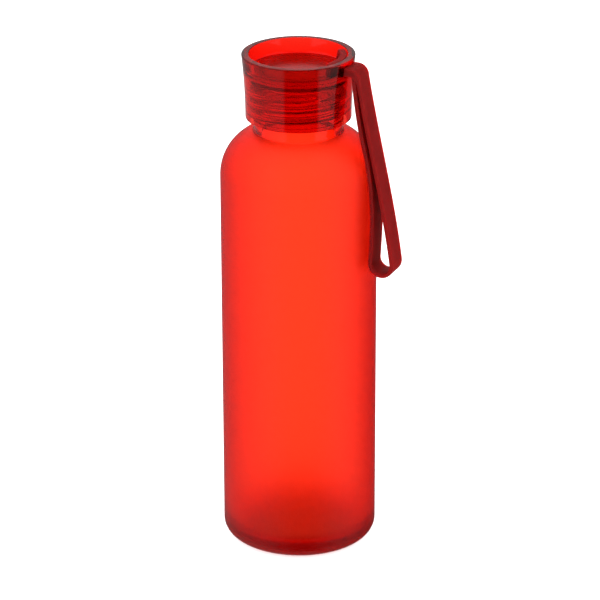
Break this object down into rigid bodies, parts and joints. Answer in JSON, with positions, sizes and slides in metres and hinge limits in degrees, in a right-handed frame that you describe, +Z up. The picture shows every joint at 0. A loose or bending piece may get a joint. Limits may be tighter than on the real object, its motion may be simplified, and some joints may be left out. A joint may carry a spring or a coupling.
{
  "type": "glass water bottle",
  "caption": "Frosted glass water bottle with a clear tinted screw cap, dished on top, and a looped silicone carry strap.",
  "frame": {"origin": "centre of the base, on the surface the bottle stands on", "axes": "+Z up along the bottle's axis, +X towards the strap, +Y across the strap's width"},
  "size_m": [0.0782, 0.066, 0.218],
  "materials": {
    "frosted_glass": "satin frosted, tinted orange red",
    "clear_plastic": "clear, glossy, tinted deep red",
    "seal_silicone": "smooth",
    "strap_silicone": "matt moulded silicone"
  },
  "bodies": {
    "bottle": {"glass_bottle": "frosted_glass"},
    "seal": {"seal_ring": "seal_silicone"},
    "cap": {"screw_cap": "clear_plastic", "strap_anchor": "strap_silicone"},
    "strap": {"strap_loop": "strap_silicone"}
  },
  "joints": [
    {"name": "cap_lift", "type": "slide", "parent": "bottle", "child": "seal", "axis": [0, 0, 1], "range_m": [0, 0.018]},
    {"name": "cap_turn", "type": "hinge", "parent": "seal", "child": "cap", "pos_m": [0, 0, 0.2], "axis": [0, 0, 1], "range_deg": [0, 1440]},
    {"name": "strap_flex", "type": "hinge", "parent": "cap", "child": "strap", "pos_m": [0.0275, 0, 0.2139], "axis": [0, -1, 0], "range_deg": [0, 170]}
  ],
  "couplings": [
    {"joint": "cap_lift", "follows": "cap_turn", "m_per_rad": 0.0007162}
  ]
}
